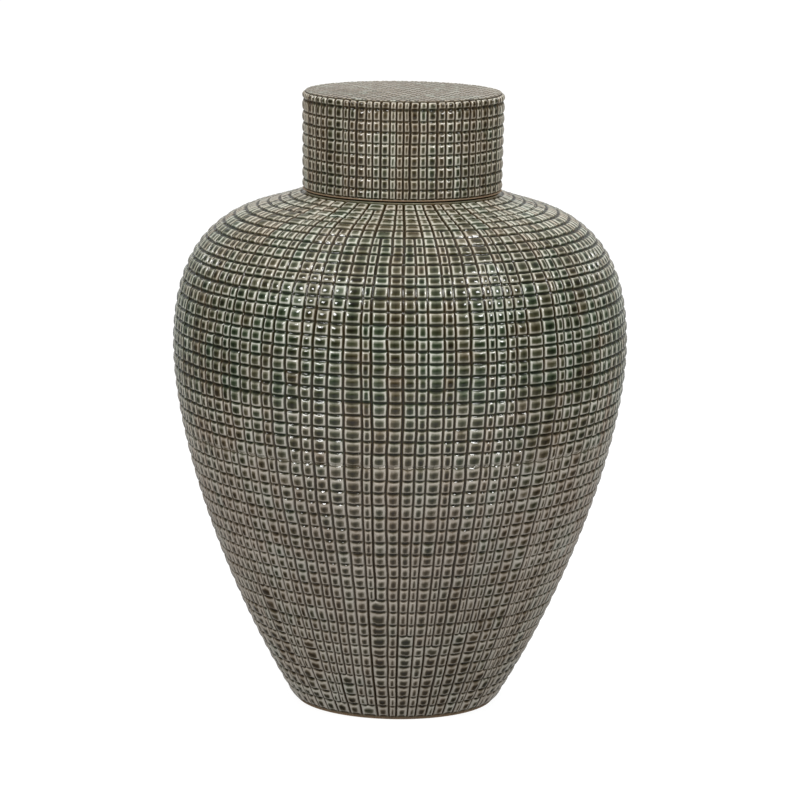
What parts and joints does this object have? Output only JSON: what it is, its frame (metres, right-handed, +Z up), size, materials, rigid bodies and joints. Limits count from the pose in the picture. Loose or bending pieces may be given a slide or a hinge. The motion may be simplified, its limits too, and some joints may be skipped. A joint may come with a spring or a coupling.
{
  "type": "ginger jar",
  "caption": "Round-shouldered stoneware ginger jar with a carved grid of dished cells under a pooled grey-green glaze, and a straight cap lid that lifts off its neck.",
  "frame": {"origin": "centre of the foot ring, on the surface the jar stands on", "axes": "+Z up along the jar's axis of revolution; +X and +Y are any two level directions"},
  "size_m": [0.299, 0.299, 0.406],
  "materials": {
    "pooled_glaze": "gloss",
    "bare_clay": "matte"
  },
  "bodies": {
    "jar": {"jar_body": "pooled_glaze"},
    "lid": {"lid": "pooled_glaze"}
  },
  "joints": [
    {"name": "lid_lift", "type": "slide", "parent": "jar", "child": "lid", "axis": [0, 0, 1], "range_m": [0, 0.12]}
  ]
}
